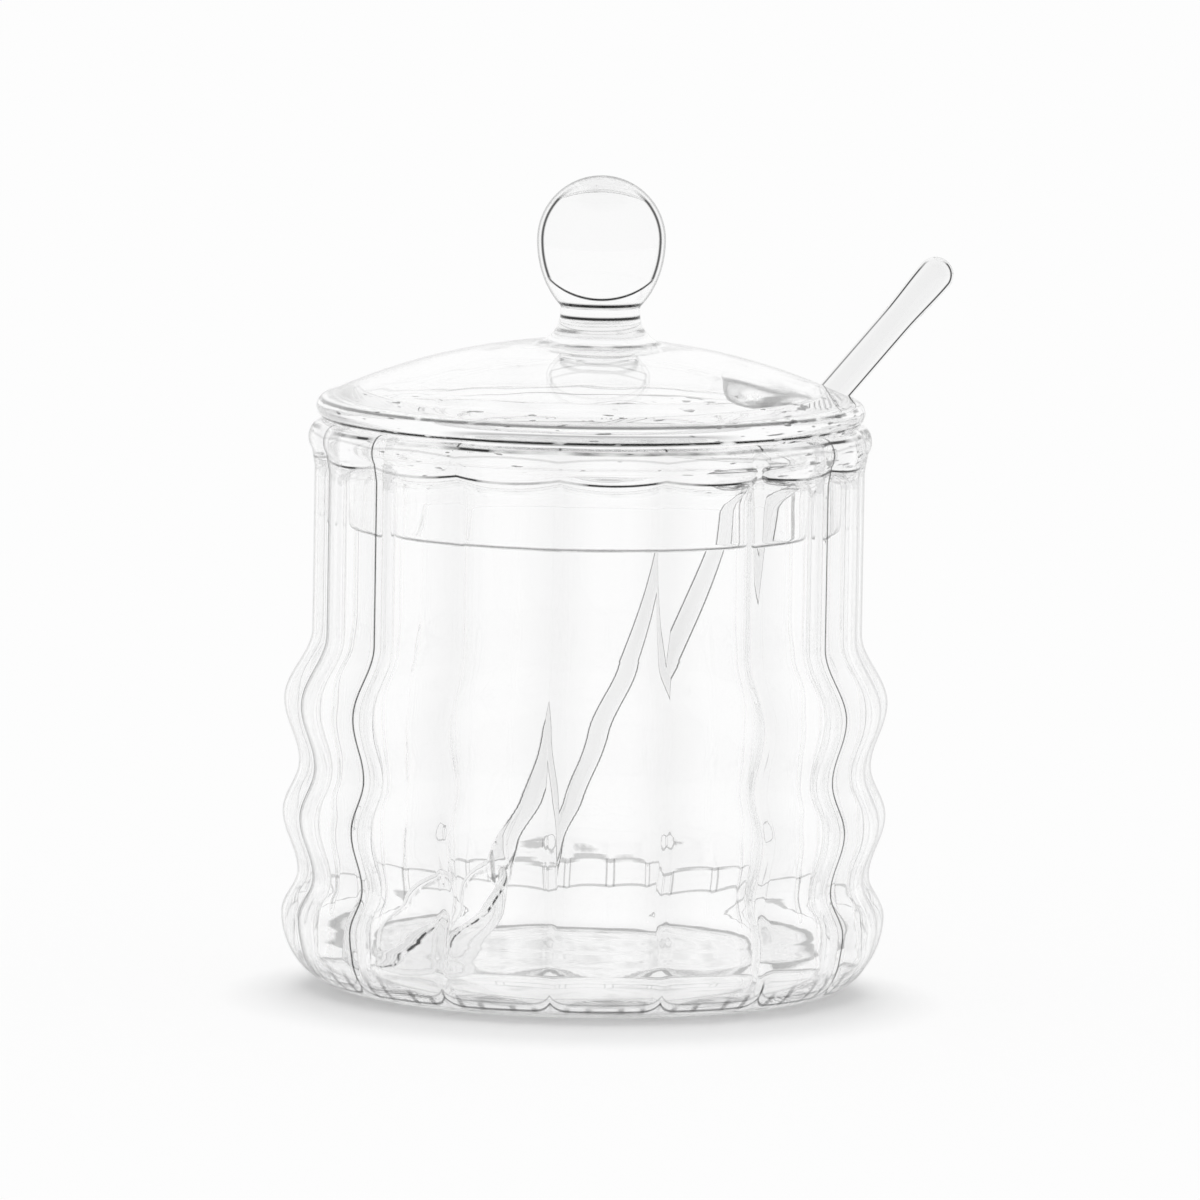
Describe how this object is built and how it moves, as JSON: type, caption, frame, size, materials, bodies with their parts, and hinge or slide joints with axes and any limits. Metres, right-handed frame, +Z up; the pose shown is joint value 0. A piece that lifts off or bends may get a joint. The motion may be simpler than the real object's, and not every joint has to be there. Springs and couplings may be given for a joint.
{
  "type": "glass jam pot with lid and spoon",
  "caption": "Clear glass jam pot with a lobed, rippled wall and rolled rim, a domed lid with a ball knob and a spoon slot, and a glass spoon that leans out through it.",
  "frame": {"origin": "centre of the flat underside of the pot, where it stands on the table", "axes": "+Z up along the pot's axis; +X the way the spoon leans out of the lid"},
  "size_m": [0.1077, 0.0946, 0.1276],
  "materials": {
    "pot_glass": "clear, fire polished",
    "lid_glass": "clear, fire polished",
    "spoon_glass": "clear, fire polished"
  },
  "bodies": {
    "pot": {"pot": "pot_glass"},
    "lid": {"lid_dome": "lid_glass", "lid_skirt": "lid_glass", "lid_knob": "lid_glass"},
    "spoon": {"spoon_rod": "spoon_glass", "spoon_bowl": "spoon_glass"}
  },
  "joints": [
    {"name": "lid_lift", "type": "slide", "parent": "pot", "child": "lid", "axis": [0, 0, 1], "range_m": [0, 0.06]},
    {"name": "spoon_draw", "type": "slide", "parent": "pot", "child": "spoon", "axis": [0.5878, 0, 0.809], "range_m": [0, 0.04]}
  ]
}
